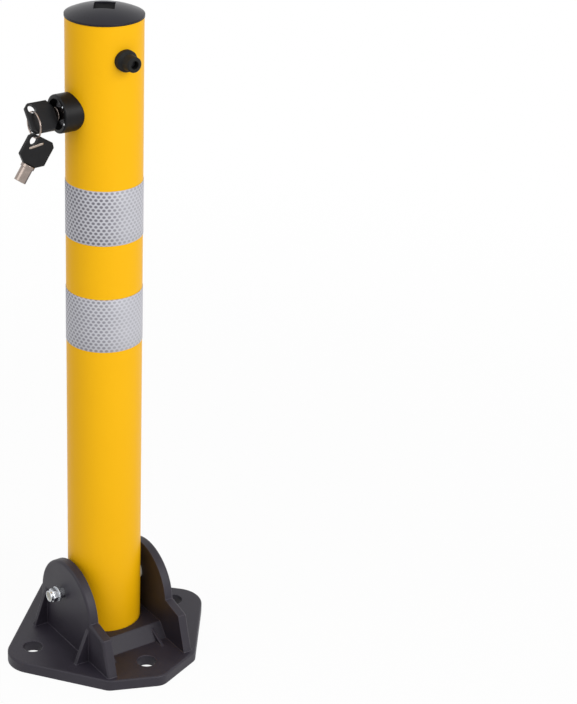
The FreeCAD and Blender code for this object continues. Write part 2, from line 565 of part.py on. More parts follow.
# Lock: boss on the tube, housing, nut, turning plug, cam and its screw
def make_lock():
    def on_lock(name, profile):
        return turned(name, "X", profile, lift=LOCK_Z)

    housing = "Sizes.lock_diameter / 2"
    mouth, outside = "Sizes.mouth_diameter / 2", "Sizes.boss_diameter / 2"
    bore, root = f"{housing} + Sizes.seat_gap", "-Sizes.tube_diameter / 3"
    boss = on_lock("lock_boss", [
        (f"-{BOSS_FACE}", mouth), (f"-{MOUTH_FLOOR}", mouth), (f"-{MOUTH_FLOOR}", bore),
        (root, bore), (root, outside), (f"-{BOSS_FACE}", outside)])
    saddle = new_sketch(boss, "saddle_profile", "XY_Plane")
    circle(saddle, "0", "0", f"{TUBE_R} + Sizes.seat_gap")
    pocket(boss, saddle, "saddle", back=True)
    face_edge = NUMBER["tube_diameter"] / 2 + NUMBER["boss_stand"]
    mouth_r = NUMBER["mouth_diameter"] / 2
    round_edges(boss, "boss_rim", "Sizes.boss_edge",
                lambda e: abs(e.CenterOfMass.x + face_edge) < NEAR and e.Curve.Radius > mouth_r + NEAR)

    plug_r = "Sizes.plug_diameter / 2"
    turning, flange = f"{plug_r} + Sizes.running_gap", f"{mouth} - Sizes.seat_gap"
    on_lock("lock_body", [
        (f"-{LOCK_FACE}", turning), (f"-{LOCK_BACK}", turning), (f"-{LOCK_BACK}", housing),
        (f"-{MOUTH_FLOOR}", housing), (f"-{MOUTH_FLOOR}", flange), (f"-{LOCK_FACE}", flange)])
    nut = new_body("lock_nut")
    seat = f"sqrt({BORE_R}^2 - Sizes.lock_nut_flats^2 / 3) - Sizes.seat_gap"
    nut_sketch = new_sketch(nut, "lock_nut_profile", "YZ_Plane", f"-({seat})", LOCK_Z)
    hexagon(nut_sketch, "Sizes.lock_nut_flats")
    circle(nut_sketch, "0", "0", f"{housing} + Sizes.seat_gap")
    pad(nut, nut_sketch, "lock_nut_pad", "Sizes.lock_nut_thick")

    groove_out = "Sizes.barrel_diameter / 2 + Sizes.seat_gap"
    groove_in = "Sizes.barrel_diameter / 2 - Sizes.barrel_wall - Sizes.seat_gap"
    groove_floor = f"{LOCK_FACE} - Sizes.groove_depth"
    screw_r = "Sizes.screw_diameter / 2 + Sizes.seat_gap"
    screw_end = f"{CAM_FACE} + Sizes.screw_long + Sizes.screw_space"
    seat_r = "Sizes.cam_seat / 2"
    on_lock("lock_plug", [
        (f"-{LOCK_FACE}", "0"), (f"-{LOCK_FACE}", groove_in), (f"-({groove_floor})", groove_in),
        (f"-({groove_floor})", groove_out), (f"-{LOCK_FACE}", groove_out), (f"-{LOCK_FACE}", plug_r),
        (f"-{LOCK_BACK}", plug_r), (f"-{LOCK_BACK}", seat_r), (f"-{CAM_FACE}", seat_r),
        (f"-{CAM_FACE}", screw_r), (f"-({screw_end})", screw_r), (f"-({screw_end})", "0")])

    cam = new_body("lock_cam")
    plate = new_sketch(cam, "cam_hub", "YZ_Plane", f"-{CAM_FACE}", LOCK_Z)
    circle(plate, "0", "0", "Sizes.cam_hub / 2")
    pad(cam, plate, "cam_disc", "Sizes.cam_thick", back=True)
    end = new_sketch(cam, "cam_end", "YZ_Plane", f"-{CAM_FACE}", LOCK_Z)
    circle(end, f"-{CAM_SWING}", CAM_SWING, "Sizes.cam_wide / 2")
    pad(cam, end, "cam_tip", "Sizes.cam_thick", back=True)
    arm = new_sketch(cam, "cam_arm_profile", "YZ_Plane", f"-{CAM_FACE}", LOCK_Z)
    side = "Sizes.cam_wide / 2 * cos(45 deg)"
    polygon(arm, [(side, side), (f"-{CAM_SWING} + {side}", f"{CAM_SWING} + {side}"),
                  (f"-{CAM_SWING} - {side}", f"{CAM_SWING} - {side}"), (f"-{side}", f"-{side}")])
    pad(cam, arm, "cam_arm", "Sizes.cam_thick", back=True)
    bore = new_sketch(cam, "cam_bore", "YZ_Plane", f"-{CAM_FACE}", LOCK_Z)
    circle(bore, "0", "0", "Sizes.cam_seat / 2 + Sizes.seat_gap")
    pocket(cam, bore, "cam_hole", both=True)
    pin = new_sketch(cam, "cam_pin_profile", "YZ_Plane", f"-{CAM_FACE} - Sizes.cam_thick / 2", LOCK_Z)
    circle(pin, f"-{CAM_SWING}", CAM_SWING, "Sizes.cam_pin / 2")
    pad(cam, pin, "cam_pin", f"{CAM_FACE} + Sizes.cam_thick / 2 + Sizes.pin_past")

    shank, head_r, crown = "Sizes.screw_diameter / 2", "Sizes.screw_head / 2", "Sizes.screw_crown / 2"
    shank_end = f"-{CAM_FACE} - Sizes.screw_long"
    top = f"-{CAM_FACE} + Sizes.screw_head_high"
    on_lock("cam_screw", [
        (shank_end, "0"), (shank_end, shank), (f"-{CAM_FACE}", shank), (f"-{CAM_FACE}", head_r),
        (f"-{CAM_FACE} + Sizes.screw_head_high / 2", head_r), (top, crown), (top, "0")])


# Locking rod with its yoke, and the two guides that hold it in the tube
def make_rod():
    tip = "(Sizes.tube_bottom + Sizes.rod_lift)"
    rod_r = "Sizes.rod_diameter / 2"
    slot_z = f"({LOCK_Z} + {CAM_SWING})"
    slot_half = "(Sizes.cam_pin / 2 + Sizes.yoke_gap)"
    yoke_low = f"({slot_z} - {slot_half} - Sizes.yoke_wall)"
    yoke_high = f"({slot_z} + {slot_half} + Sizes.yoke_wall)"
    rod = turned("lock_rod", "Z", [
        ("0", tip), (f"{rod_r} - Sizes.rod_point / 2", tip), (rod_r, f"{tip} + Sizes.rod_point"),
        (rod_r, f"{yoke_low} + Sizes.join"), ("0", f"{yoke_low} + Sizes.join")], along="Sizes.rod_front")
    yoke = new_sketch(rod, "yoke_profile", "YZ_Plane", "-Sizes.yoke_thick / 2")
    slot_front = f"(-Sizes.cam_radius - {slot_half})"
    slot_back = f"(-{CAM_SWING} + {slot_half})"
    front = f"({slot_front} - Sizes.yoke_wall)"
    back = f"({slot_back} + Sizes.yoke_wall / 2)"
    polygon(yoke, [(front, yoke_low), (back, yoke_low), (back, yoke_high), (front, yoke_high)])
    pad(rod, yoke, "yoke", "Sizes.yoke_thick")
    slot = new_sketch(rod, "slot_profile", "YZ_Plane")
    polygon(slot, [(slot_front, f"{slot_z} - {slot_half}"), (slot_back, f"{slot_z} - {slot_half}"),
                   (slot_back, f"{slot_z} + {slot_half}"), (slot_front, f"{slot_z} + {slot_half}")])
    pocket(rod, slot, "yoke_slot", both=True)
    upper = f"{LOCK_Z} - Sizes.guide_drop"
    for name, start in (("rod_guide_lower", "Sizes.lower_guide"), ("rod_guide_upper", upper)):
        guide = new_body(name)
        disc = new_sketch(guide, name + "_profile", "XY_Plane", start)
        circle(disc, "0", "0", f"{BORE_R} - Sizes.seat_gap")
        circle(disc, "0", "-Sizes.rod_front", f"{rod_r} + Sizes.running_gap")
        pad(guide, disc, name + "_pad", "Sizes.guide_thick")


# Rubber buffer that meets the ground when the post lies down, and its screw
def make_buffer():
    def on_buffer(name, profile):
        body = new_body(name)
        sketch = new_sketch(body, name + "_profile", "YZ_Plane", lift=BUFFER_Z)
        polygon(sketch, profile)
        spin(body, sketch, name + "_turn", "X")
        return body

    out = f"(-{TUBE_R} - Sizes.buffer_long)"
    flange = f"(-{TUBE_R} - Sizes.buffer_flange_long)"
    root = "-Sizes.tube_diameter / 3"
    screw_r = "Sizes.screw_diameter / 2"
    hole = "Sizes.buffer_hole / 2"
    floor = f"({out} + Sizes.buffer_hole_deep)"
    big, small = "Sizes.buffer_flange / 2", "Sizes.buffer_stub / 2"
    shank = f"{screw_r} + Sizes.seat_gap"
    buffer = on_buffer("rubber_buffer", [
        (root, shank), (floor, shank), (floor, hole), (out, hole),
        (out, f"{small} - Sizes.buffer_edge"), (f"{out} + Sizes.buffer_edge", small),
        (f"{flange} - Sizes.buffer_step", f"{small} + Sizes.buffer_flare"),
        (flange, f"{big} - Sizes.buffer_bevel"), (f"{flange} + Sizes.buffer_bevel", big), (root, big)])
    saddle = new_sketch(buffer, "buffer_saddle", "XY_Plane")
    circle(saddle, "0", "0", f"{TUBE_R} + Sizes.seat_gap")
    pocket(buffer, saddle, "buffer_seat", back=True)
    inner = f"(-{BORE_R} + Sizes.buffer_screw_inside)"
    head_r = f"({hole} - Sizes.buffer_head_gap)"
    top = f"{floor} - Sizes.buffer_head_high"
    on_buffer("buffer_screw", [
        (inner, "0"), (inner, screw_r), (floor, screw_r), (floor, head_r),
        (f"{floor} - Sizes.buffer_head_high / 2", head_r),
        (top, f"{head_r} - Sizes.buffer_head_bevel"), (top, "0")])


# Keys: head and barrel, modelled along +X from the head's inner end, then set in place
def make_key(head_name, barrel_name, set_place):
    head = new_body(head_name)
    outline = new_sketch(head, head_name + "_profile", "XZ_Plane")
    long, half, cut = "Sizes.head_long", "Sizes.head_wide / 2", "Sizes.head_corner"
    back, inside = f"-{long} + {cut}", "-Sizes.shoulder_long"
    low, high = f"-{half} + {cut}", f"{half} - {cut}"
    neck = f"({half} - Sizes.shoulder_wide)"
    polygon(outline, [(back, f"-{half}"), (inside, f"-{half}"), ("0", f"-{neck}"), ("0", neck),
                      (inside, half), (back, half), (f"-{long}", high), (f"-{long}", low)])
    circle(outline, f"-{long} + Sizes.hole_in", "Sizes.hole_side", "Sizes.ring_hole / 2")
    pad(head, outline, head_name + "_pad", "Sizes.head_thick", both=True)
    face = NUMBER["head_thick"] / 2
    round_edges(head, head_name + "_edges", "Sizes.head_edge",
                lambda e: abs(abs(e.CenterOfMass.y) - face) < NEAR and isinstance(e.Curve, Part.Line))
    barrel_r = "Sizes.barrel_diameter / 2"
    inner = f"({barrel_r} - Sizes.barrel_wall)"
    barrel = turned(barrel_name, "X", [
        ("0", "0"), ("Sizes.barrel_floor", "0"), ("Sizes.barrel_floor", inner), ("Sizes.barrel_long", inner),
        ("Sizes.barrel_long", barrel_r), ("Sizes.collar_long", barrel_r),
        ("Sizes.collar_long", "Sizes.collar_wide / 2"), ("0", "Sizes.collar_wide / 2")])
    for body in (head, barrel):
        set_place(body)


def place_lock_key(body):
    """The key in the lock: along the lock axis, turned about it."""
    body.Placement = FreeCAD.Placement(FreeCAD.Vector(), FreeCAD.Rotation(FreeCAD.Vector(1, 0, 0), -1))
    body.setExpression("Placement.Rotation.Angle", "-Sizes.key_tilt")
    body.setExpression("Placement.Base.x", f"-{BOSS_FACE} - Sizes.key_stand")
    body.setExpression("Placement.Base.z", LOCK_Z)


# Where the ring's wire passes through the key in the lock, and the ring's centre below it
HOLE_X = f"(-{BOSS_FACE} - Sizes.key_stand - Sizes.head_long + Sizes.hole_in)"
HANG = "(Sizes.hole_side - Sizes.ring_sit)"
RING_R = "((Sizes.ring_diameter - Sizes.ring_wire) / 2)"
HANG_Y = f"({HANG} * sin(Sizes.key_tilt * 1 deg))"
HANG_Z = f"({LOCK_Z} + {HANG} * cos(Sizes.key_tilt * 1 deg))"
RING_Y = f"({HANG_Y} - {RING_R} * sin(Sizes.ring_turn * 1 deg))"
RING_Z = f"({HANG_Z} - {RING_R} * cos(Sizes.ring_turn * 1 deg))"


def place_spare_key(body):
    """The spare key hangs by its corner hole from the ring's lowest point, leaning away from the post."""
    flip = FreeCAD.Rotation(FreeCAD.Vector(1, 0, 0), 180)
    lean = FreeCAD.Rotation(FreeCAD.Vector(0, 1, 0), 90 + NUMBER["spare_turn"])
    turn = lean * flip
    wire_x = -NUMBER["head_long"] + NUMBER["hole_in"] - NUMBER["spare_sit"]
    hole = FreeCAD.Vector(wire_x, 0, NUMBER["hole_side"])
    radius = (NUMBER["ring_diameter"] - NUMBER["ring_wire"]) / 2
    hang = NUMBER["hole_side"] - NUMBER["ring_sit"]
    tilt = math.radians(NUMBER["key_tilt"])
    on_ring = math.radians(NUMBER["ring_turn"])
    lock_z = NUMBER["rim_height"] - NUMBER["lock_drop"]
    hole_x = -(NUMBER["tube_diameter"] / 2 + NUMBER["boss_stand"] + NUMBER["key_stand"])
    low = FreeCAD.Vector(hole_x - NUMBER["head_long"] + NUMBER["hole_in"],
                         hang * math.sin(tilt) - radius * math.sin(on_ring),
                         lock_z + hang * math.cos(tilt) - radius * math.cos(on_ring) - radius)
    body.Placement = FreeCAD.Placement(low - turn.multVec(hole), turn)


def make_keys():
    make_key("key_head", "key_barrel", place_lock_key)
    make_key("spare_key_head", "spare_key_barrel", place_spare_key)
    ring = doc.addObject("Part::Torus", "key_ring")
    ring.Label = "key_ring"
    ring.setExpression("Radius1", RING_R)
    ring.setExpression("Radius2", "Sizes.ring_wire / 2")
    ring.Placement = FreeCAD.Placement(FreeCAD.Vector(), FreeCAD.Rotation(FreeCAD.Vector(0, 1, 0), 90))
    ring.setExpression("Placement.Base.x", HOLE_X)
    ring.setExpression("Placement.Base.y", RING_Y)
    ring.setExpression("Placement.Base.z", RING_Z)


make_foot()
make_hinge()
make_post()
make_lock()
make_rod()
make_buffer()
make_keys()
doc.recompute()

for item in doc.Objects:
    if "Invalid" in item.State or "Error" in item.State:
        raise RuntimeError(f"{item.Name} failed: {item.State}")
pieces = [item for item in doc.Objects if item.TypeId in ("PartDesign::Body", "Part::Torus")]
for piece in pieces:
    if piece.Shape.isNull() or not piece.Shape.isValid():
        raise RuntimeError(f"{piece.Label} has no valid shape")

os.makedirs("parts", exist_ok=True)
for piece in pieces:
    piece.Shape.exportStep(f"parts/{piece.Label}.step")
    box = piece.Shape.BoundBox
    print(f"{piece.Label}: {len(piece.Shape.Solids)} solid, {piece.Shape.Volume:.0f} mm3, "
          f"x {box.XMin:.2f} {box.XMax:.2f}, y {box.YMin:.2f} {box.YMax:.2f}, "
          f"z {box.ZMin:.2f} {box.ZMax:.2f}")
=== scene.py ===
"""Looks of a folding parking post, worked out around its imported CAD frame."""

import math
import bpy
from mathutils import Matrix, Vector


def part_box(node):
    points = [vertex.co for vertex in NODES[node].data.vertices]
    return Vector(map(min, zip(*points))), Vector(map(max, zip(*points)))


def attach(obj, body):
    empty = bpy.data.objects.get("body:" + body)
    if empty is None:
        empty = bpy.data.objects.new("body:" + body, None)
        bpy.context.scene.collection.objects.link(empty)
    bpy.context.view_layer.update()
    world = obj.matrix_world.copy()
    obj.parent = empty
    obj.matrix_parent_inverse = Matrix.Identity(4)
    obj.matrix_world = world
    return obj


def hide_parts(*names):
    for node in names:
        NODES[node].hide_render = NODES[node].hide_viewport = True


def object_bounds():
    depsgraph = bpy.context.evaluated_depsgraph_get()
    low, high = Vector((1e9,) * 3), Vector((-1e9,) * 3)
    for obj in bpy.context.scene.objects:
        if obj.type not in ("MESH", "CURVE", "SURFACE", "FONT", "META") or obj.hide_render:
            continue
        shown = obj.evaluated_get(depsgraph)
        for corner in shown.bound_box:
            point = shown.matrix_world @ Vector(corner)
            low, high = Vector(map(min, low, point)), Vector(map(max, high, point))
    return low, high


bl_info = {
    "name": "Folding parking post",
    "version": (1, 0, 0),
    "blender": (4, 5, 0),
    "location": "View3D > Sidebar > Parking post",
    "description": "Finishes, reflective film and small trim for a folding parking post",
    "category": "Object",
}

import bpy
import numpy as np
from mathutils import Matrix, Vector

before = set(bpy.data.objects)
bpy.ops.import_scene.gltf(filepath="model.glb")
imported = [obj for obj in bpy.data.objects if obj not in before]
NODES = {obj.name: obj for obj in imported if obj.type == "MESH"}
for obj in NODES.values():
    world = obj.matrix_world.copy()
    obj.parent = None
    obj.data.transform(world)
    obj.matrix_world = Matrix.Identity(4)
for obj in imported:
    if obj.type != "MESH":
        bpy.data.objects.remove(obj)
CAD_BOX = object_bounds()
MM = 0.001
IMAGE_HIGH = 704
SENSOR = 36.0
BEVEL_SAMPLES = 6
# Part of the noise that a finish's roughness is spread over
NOISE_SPAN = (0.6, 1.4)
# How far an edge's rounding turns the normal, as a cosine, from where the rubbed wear and painted edge highlight start
# to where they are full
RUB_AND_HIGHLIGHT_SPAN = (0.995, 0.80)
RUB_AND_HIGHLIGHT_MOST = 0.75
# Depth under a dome's surface, from where a hollow's painted shade starts to where it is full
SINK_SPAN = (0.4 * MM, 1.2 * MM)
# Edge of a film dot, as a share of its radius squared, from full to none
DOT_SPAN = (0.35, 1.25)
CLOUD_MM = 9.0
FILM_STEPS = 240
FILM_GLUE = 0.02 * MM
FILM_SOFT = 0.25 * MM
PILLOW_STEPS = (48, 20)
# The pins in the boss's rim and their places round it, in degrees from the back over the top
PINS = (("boss_pin_upper", 140), ("boss_pin_lower", 200))
FLOOR_HALF = 6.0
# Distance from the post over which the floor turns white, and its share of white at both ends
FLOOR_SPAN = (0.3, 1.2)
FLOOR_WHITE = (0.95, 1.0)


def linear(code):
    """Turn an sRGB hex colour into linear red, green, blue and alpha."""
    shades = [int(code[i:i + 2], 16) / 255 for i in (1, 3, 5)]
    return [s / 12.92 if s <= 0.04045 else ((s + 0.055) / 1.055) ** 2.4 for s in shades] + [1.0]


def colour(label, note, code):
    """A colour that a user can change, written as sRGB hex."""
    return bpy.props.FloatVectorProperty(name=label, description=note, subtype="COLOR", size=4,
                                         min=0.0, max=1.0, default=linear(code))


class PostColours(bpy.types.PropertyGroup):
    """Colours of the finishes."""

    coat: colour("Coat", "Powder coat on the tube", "#FDBF0C")
    coat_deep: colour("Coat, deeper", "Thinner places of the powder coat", "#FABA08")
    foot: colour("Foot", "Moulded foot", "#312D37")
    foot_deep: colour("Foot, deeper", "Darker flow marks of the foot", "#201C26")
    # Edge colour of the foot: partly rubbed wear, partly a painted highlight along the edges.
    foot_rub_and_highlight: colour("Foot, rubbed", "Edges and rubbed places of the foot", "#544F5A")
    cap: colour("Cap", "Moulded cap", "#24232B")
    cap_deep: colour("Cap, deeper", "Darker flow marks of the cap", "#1A1921")
    # Painted shade: the cap's recess and rim are darkened in colour, standing in for the shade that falls there.
    painted_recess_shade: colour("Recess shade", "Painted shade in the cap's recess and on its rim", "#08080A")
    boss: colour("Boss", "Lock boss", "#0F0F11")
    black: colour("Black", "Key heads and buffer screw", "#1B1B1D")
    black_deep: colour("Black, deeper", "Key heads and buffer screw where less handled", "#101012")
    rubber: colour("Rubber", "Dusty places of the buffer", "#242423")
    rubber_deep: colour("Rubber, deeper", "Clean places of the buffer", "#0F0F0E")
    film: colour("Film", "Reflective film", "#C8C8CF")
    film_dot: colour("Film dots", "Sealed cells in the reflective film", "#66646E")
    zinc: colour("Zinc", "Zinc plated steel", "#E2E4E7")
    zinc_deep: colour("Zinc, cloudy", "Cloudy places of the zinc", "#C6C9CE")
    # Both nickel colours are darkened as a painted dark reflection; the deeper one gives random greyer patches.
    nickel: colour("Nickel", "Nickel plated brass", "#B5A79D")
    nickel_patch_and_dark_reflection: colour("Nickel, tarnished", "Tarnished places of the nickel", "#776C69")
    casting: colour("Lock", "Plated die casting", "#2C2C30")
    strip: colour("Strip", "Worn strip in the spare key's head", "#A99D93")
    nylon: colour("Nylon", "Natural nylon", "#D8D6CB")


class FilmSizes(bpy.types.PropertyGroup):
    """Sizes of the reflective film, in metres, and strengths of its dots."""

    pitch: bpy.props.FloatProperty(name="Dot pitch", description="Dots along a row", unit="LENGTH", default=4.1 * MM)
    row: bpy.props.FloatProperty(name="Row pitch", description="From one row to the next", unit="LENGTH",
                                 default=2.75 * MM)
    dot_long: bpy.props.FloatProperty(name="Dot length", description="Dot along its row", unit="LENGTH",
                                      default=2.95 * MM)
    dot_high: bpy.props.FloatProperty(name="Dot height", description="Dot across its row", unit="LENGTH",
                                      default=2.45 * MM)
    # From fade_from to back_to the dots are painted paler: painted light for the film's reflection changing with its
    # slant to the light.
    fade_from: bpy.props.FloatProperty(name="Fade from", description="Place round the tube where the dots turn paler",
                                       unit="LENGTH", default=74 * MM)
    fade_to: bpy.props.FloatProperty(name="Fade to", description="Place round the tube where the dots are palest",
                                     unit="LENGTH", default=98 * MM)
    back_from: bpy.props.FloatProperty(name="Back from", description="Place where the dots start to darken again",
                                       unit="LENGTH", default=140 * MM)
    back_to: bpy.props.FloatProperty(name="Back to", description="Place where the dots are at full strength again",
                                     unit="LENGTH", default=185 * MM)
    # worn sets the strength of the lower band's dots, which are drawn paler than the upper band's.
    worn: bpy.props.FloatProperty(name="Worn", description="Strength of the lower band's dots, scuffed by cars",
                                  subtype="FACTOR", default=0.74)
    palest: bpy.props.FloatProperty(name="Palest", description="Strength of the palest dots", subtype="FACTOR",
                                    default=0.45)
    lap: bpy.props.FloatProperty(name="Lap", description="Overlap of the film's ends", unit="LENGTH", default=9 * MM)


class TrimSizes(bpy.types.PropertyGroup):
    """Sizes and places of the small trim, in metres and radians."""

    pin: bpy.props.FloatProperty(name="Pin", description="Radius of a pin in the lock boss's rim", unit="LENGTH",
                                 default=0.85 * MM)
    pin_in: bpy.props.FloatProperty(name="Pin inset", description="Pin's middle from the outside of the boss",
                                    unit="LENGTH", default=2.1 * MM)
    pin_out: bpy.props.FloatProperty(name="Pin height", description="Pin's height, as a share of its radius",
                                     subtype="FACTOR", default=0.7)
    strip_long: bpy.props.FloatProperty(name="Strip length", description="Metal strip in the spare key's head",
                                        unit="LENGTH", default=12.3 * MM)
    strip_high: bpy.props.FloatProperty(name="Strip width", description="Metal strip in the spare key's head",
                                        unit="LENGTH", default=1.9 * MM)
    strip_out: bpy.props.FloatProperty(name="Strip height", description="Strip standing out of the spare key's head",
                                       unit="LENGTH", default=0.3 * MM)
    strip_in: bpy.props.FloatProperty(name="Strip inset", description="Strip's middle from the head's far side",
                                      unit="LENGTH", default=13.4 * MM)
    strip_down: bpy.props.FloatProperty(name="Strip drop", description="Strip's middle below the head's top",
                                        unit="LENGTH", default=9.5 * MM)
    strip_lean: bpy.props.FloatProperty(name="Strip lean", description="Strip against the ground", subtype="ANGLE",
                                        default=math.radians(8.3))
    cap_rise: bpy.props.FloatProperty(name="Cap rise", description="Rise of the cap's dome over its rim",
                                      unit="LENGTH", default=6.8 * MM)


class ViewSizes(bpy.types.PropertyGroup):
    """Places of the camera and the lights, and the strength of the light."""

    focal: bpy.props.FloatProperty(name="Focal length", description="In picture heights", default=2200 / IMAGE_HIGH)
    distance: bpy.props.FloatProperty(name="Distance", description="From the post, along the ground", unit="LENGTH",
                                      default=1.5854)
    height: bpy.props.FloatProperty(name="Height", description="Above the ground", unit="LENGTH", default=1.0231)
    azimuth: bpy.props.FloatProperty(name="Azimuth", description="Round the post", subtype="ANGLE",
                                     default=math.radians(-30.67))
    pan: bpy.props.FloatProperty(name="Pan", description="Past the post", subtype="ANGLE", default=math.radians(5.213))
    pitch: bpy.props.FloatProperty(name="Pitch", description="Down", subtype="ANGLE", default=math.radians(23.347))
    roll: bpy.props.FloatProperty(name="Roll", description="About the view", subtype="ANGLE",
                                  default=math.radians(2.1))
    rise: bpy.props.FloatProperty(name="Rise", description="Lens shift up, in picture heights", default=-0.122)
    key: bpy.props.FloatProperty(name="Key light", description="Power of the key light", unit="POWER", default=20.5)
    key_size: bpy.props.FloatProperty(name="Key size", description="Side of the key light", unit="LENGTH", default=1.1)
    key_place: bpy.props.FloatVectorProperty(name="Key place", description="Where the key light stands",
                                             subtype="TRANSLATION", default=(0.35, -1.75, 1.2))
    fill: bpy.props.FloatProperty(name="Fill light", description="Power of the fill light", unit="POWER", default=9.0)
    fill_size: bpy.props.FloatProperty(name="Fill size", description="Side of the fill light", unit="LENGTH",
                                       default=1.4)
    fill_place: bpy.props.FloatVectorProperty(name="Fill place", description="Where the fill light stands",
                                              subtype="TRANSLATION", default=(-1.35, -0.1, 1.8))
    sky: bpy.props.FloatProperty(name="Sky", description="Strength of the even light", default=0.43)


def add(tree, kind, inputs=None, **settings):
    """Add a node with its settings, and fill or link its inputs."""
    node = tree.nodes.new(kind)
    for key, value in settings.items():
        setattr(node, key, value)
    for key, value in (inputs or {}).items():
        if isinstance(value, bpy.types.NodeSocket):
            tree.links.new(value, node.inputs[key])
        else:
            node.inputs[key].default_value = value
    return node


def per_metre(size_mm):
    """Texture scale for a pattern of that real size in millimetres."""
    return 1000.0 / size_mm


def new_material(name):
    """An empty material with its node tree and output node."""
    material = bpy.data.materials.new(name)
    material.use_nodes = True
    material.node_tree.nodes.clear()
    return material, material.node_tree, material.node_tree.nodes.new("ShaderNodeOutputMaterial")


def finish_of(name, pale, deep, rough, patch_mm, grain_mm, grain_high, metallic=0.0, specular=0.5,
              edge=None, edge_mm=0.8, hollow=None):
    """A moulded, coated or plated finish: patches of two colours and two roughnesses with a fine relief.

    Colour = mix(deep, pale, noise of patch_mm); roughness = range rough by the same noise and the grain;
    relief = noise of grain_mm, grain_high millimetres deep, on edges that look rounded by edge_mm. With edge given,
    those edges take that colour, by how far the rounding turns the normal: partly rubbed wear, partly a painted
    edge highlight. With hollow given, as the middle and radius of a dome and a colour, what lies under the dome's
    surface takes that colour as painted shade and loses its gloss.
    """
    material, tree, output = new_material(name)
    where = add(tree, "ShaderNodeTexCoord").outputs["Object"]
    patch = add(tree, "ShaderNodeTexNoise", {"Vector": where, "Scale": per_metre(patch_mm), "Detail": 3.0})
    grain = add(tree, "ShaderNodeTexNoise", {"Vector": where, "Scale": per_metre(grain_mm), "Detail": 2.0})
    tint = add(tree, "ShaderNodeMix", {"Factor": patch.outputs["Fac"], "A": deep, "B": pale}, data_type="RGBA")
    colour_out = tint.outputs["Result"]
    rounded = add(tree, "ShaderNodeBevel", {"Radius": edge_mm * MM}, samples=BEVEL_SAMPLES)
    if edge is not None:
        plain = add(tree, "ShaderNodeNewGeometry")
        turn = add(tree, "ShaderNodeVectorMath", {0: rounded.outputs["Normal"], 1: plain.outputs["Normal"]},
                   operation="DOT_PRODUCT")
        # Edges take the edge colour: partly rubbed wear, partly a painted edge highlight.
        rub_and_highlight = add(tree, "ShaderNodeMapRange", {"Value": turn.outputs["Value"], "From Min": RUB_AND_HIGHLIGHT_SPAN[0],
                                               "From Max": RUB_AND_HIGHLIGHT_SPAN[1], "To Min": 0.0, "To Max": RUB_AND_HIGHLIGHT_MOST})
        worn = add(tree, "ShaderNodeMix", {"Factor": rub_and_highlight.outputs["Result"], "A": colour_out, "B": edge},
                   data_type="RGBA")
        colour_out = worn.outputs["Result"]
    # Painted shade: what lies under the dome's surface is darkened and dulled, standing in for the shade in a recess.
    if hollow is not None:
        middle, radius, painted_shade = hollow
        off = add(tree, "ShaderNodeVectorMath", {0: where, 1: middle}, operation="DISTANCE")
        under = add(tree, "ShaderNodeMapRange", {"Value": off.outputs["Value"], "From Min": radius - SINK_SPAN[0],
                                                 "From Max": radius - SINK_SPAN[1]})
        sunk = add(tree, "ShaderNodeMix", {"Factor": under.outputs["Result"], "A": colour_out, "B": painted_shade},
                   data_type="RGBA")
        colour_out = sunk.outputs["Result"]
    blend = add(tree, "ShaderNodeMath", {0: patch.outputs["Fac"], 1: grain.outputs["Fac"]}, operation="ADD")
    roughness = add(tree, "ShaderNodeMapRange", {
        "Value": blend.outputs["Value"], "From Min": NOISE_SPAN[0], "From Max": NOISE_SPAN[1],
        "To Min": rough[0], "To Max": rough[1]}).outputs["Result"]
    if hollow is not None:
        roughness = add(tree, "ShaderNodeMix", {"Factor": under.outputs["Result"], "A": roughness, "B": 1.0},
                        data_type="FLOAT").outputs["Result"]
    relief = add(tree, "ShaderNodeBump", {"Height": grain.outputs["Fac"], "Strength": 1.0,
                                          "Distance": grain_high * MM, "Normal": rounded.outputs["Normal"]})
    shader = add(tree, "ShaderNodeBsdfPrincipled", {
        "Base Color": colour_out, "Roughness": roughness, "Normal": relief.outputs["Normal"],
        "Metallic": metallic, "Specular IOR Level": specular})
    tree.links.new(shader.outputs["BSDF"], output.inputs["Surface"])
    return material


